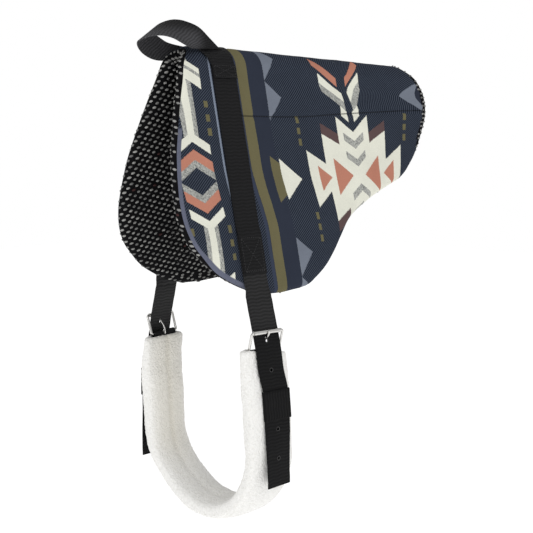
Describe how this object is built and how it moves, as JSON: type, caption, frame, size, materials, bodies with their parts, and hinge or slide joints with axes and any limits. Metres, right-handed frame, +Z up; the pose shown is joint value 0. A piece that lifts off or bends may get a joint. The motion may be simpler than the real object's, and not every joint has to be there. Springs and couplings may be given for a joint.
{
  "type": "bareback pad",
  "caption": "Padded bareback riding pad, hung as worn, with grab handle, surcingle, roller buckles and a fleece-sleeved girth closing the loop below.",
  "frame": {"origin": "on the pad's underside at the spine, above the middle of the surcingle: the point that rests on the horse's back", "axes": "+Z up; -X towards the horse's head (front of the pad), +X towards its tail; -Y the horse's left side, +Y its right side"},
  "size_m": [0.5675, 0.2688, 0.704],
  "materials": {
    "woven_cover": "woven twill with a patterned weave, matte",
    "foam": "closed-cell foam, matte",
    "non_slip_cloth": "nubby non-slip weave, matte",
    "black_webbing": "ribbed webbing, slight sheen",
    "white_fleece": "curly fleece pile, matte",
    "nickel": "nickel plate, slightly brushed"
  },
  "bodies": {
    "pad": {"pad_cover": "woven_cover", "foam_core": "foam", "non_slip_lining": "non_slip_cloth", "surcingle": "black_webbing", "handle_left_tab": "black_webbing", "handle_right_tab": "black_webbing", "left_billet_anchor": "black_webbing", "right_billet_anchor": "black_webbing"},
    "handle": {"handle_loop": "black_webbing"},
    "left_billet": {"left_billet_strap": "black_webbing", "left_buckle_frame": "nickel"},
    "left_roller": {"left_buckle_roller": "nickel"},
    "left_tongue": {"left_buckle_tongue": "nickel"},
    "right_billet": {"right_billet_strap": "black_webbing", "right_buckle_frame": "nickel"},
    "right_roller": {"right_buckle_roller": "nickel"},
    "right_tongue": {"right_buckle_tongue": "nickel"},
    "girth": {"girth_fleece": "white_fleece", "girth_core": "black_webbing", "left_chape": "black_webbing", "right_chape": "black_webbing", "left_keeper": "black_webbing", "right_keeper": "black_webbing", "left_billet_tail": "black_webbing", "right_billet_tail": "black_webbing"}
  },
  "joints": [
    {"name": "handle_lean", "type": "hinge", "parent": "pad", "child": "handle", "pos_m": [0.00345, 0, 0.01375], "axis": [0, 1, 0], "range_deg": [0, 38]},
    {"name": "left_billet_sway", "type": "hinge", "parent": "pad", "child": "left_billet", "pos_m": [0, -0.09414, -0.322], "axis": [1, 0, 0], "range_deg": [-12, 12]},
    {"name": "right_billet_sway", "type": "hinge", "parent": "pad", "child": "right_billet", "pos_m": [0, 0.09414, -0.322], "axis": [1, 0, 0], "range_deg": [-12.5, 12.5]},
    {"name": "girth_level", "type": "hinge", "parent": "left_billet", "child": "girth", "pos_m": [0, -0.102, -0.394], "axis": [1, 0, 0], "range_deg": [-12, 12]},
    {"name": "left_roller_spin", "type": "hinge", "parent": "left_billet", "child": "left_roller", "pos_m": [-0.00091, -0.10995, -0.367], "axis": [0.9936, -0.1132, 0], "continuous": true},
    {"name": "right_roller_spin", "type": "hinge", "parent": "right_billet", "child": "right_roller", "pos_m": [-0.00091, 0.10995, -0.367], "axis": [0.9936, 0.1132, 0], "continuous": true},
    {"name": "left_tongue_lift", "type": "hinge", "parent": "left_billet", "child": "left_tongue", "pos_m": [0, -0.102, -0.394], "axis": [0.9936, -0.1132, 0], "range_deg": [0, 5]},
    {"name": "right_tongue_lift", "type": "hinge", "parent": "right_billet", "child": "right_tongue", "pos_m": [0, 0.102, -0.394], "axis": [-0.9936, -0.1132, 0], "range_deg": [0, 5]}
  ],
  "couplings": [
    {"joint": "right_billet_sway", "follows": "left_billet_sway", "ratio": 1},
    {"joint": "girth_level", "follows": "left_billet_sway", "ratio": -0.9229}
  ]
}
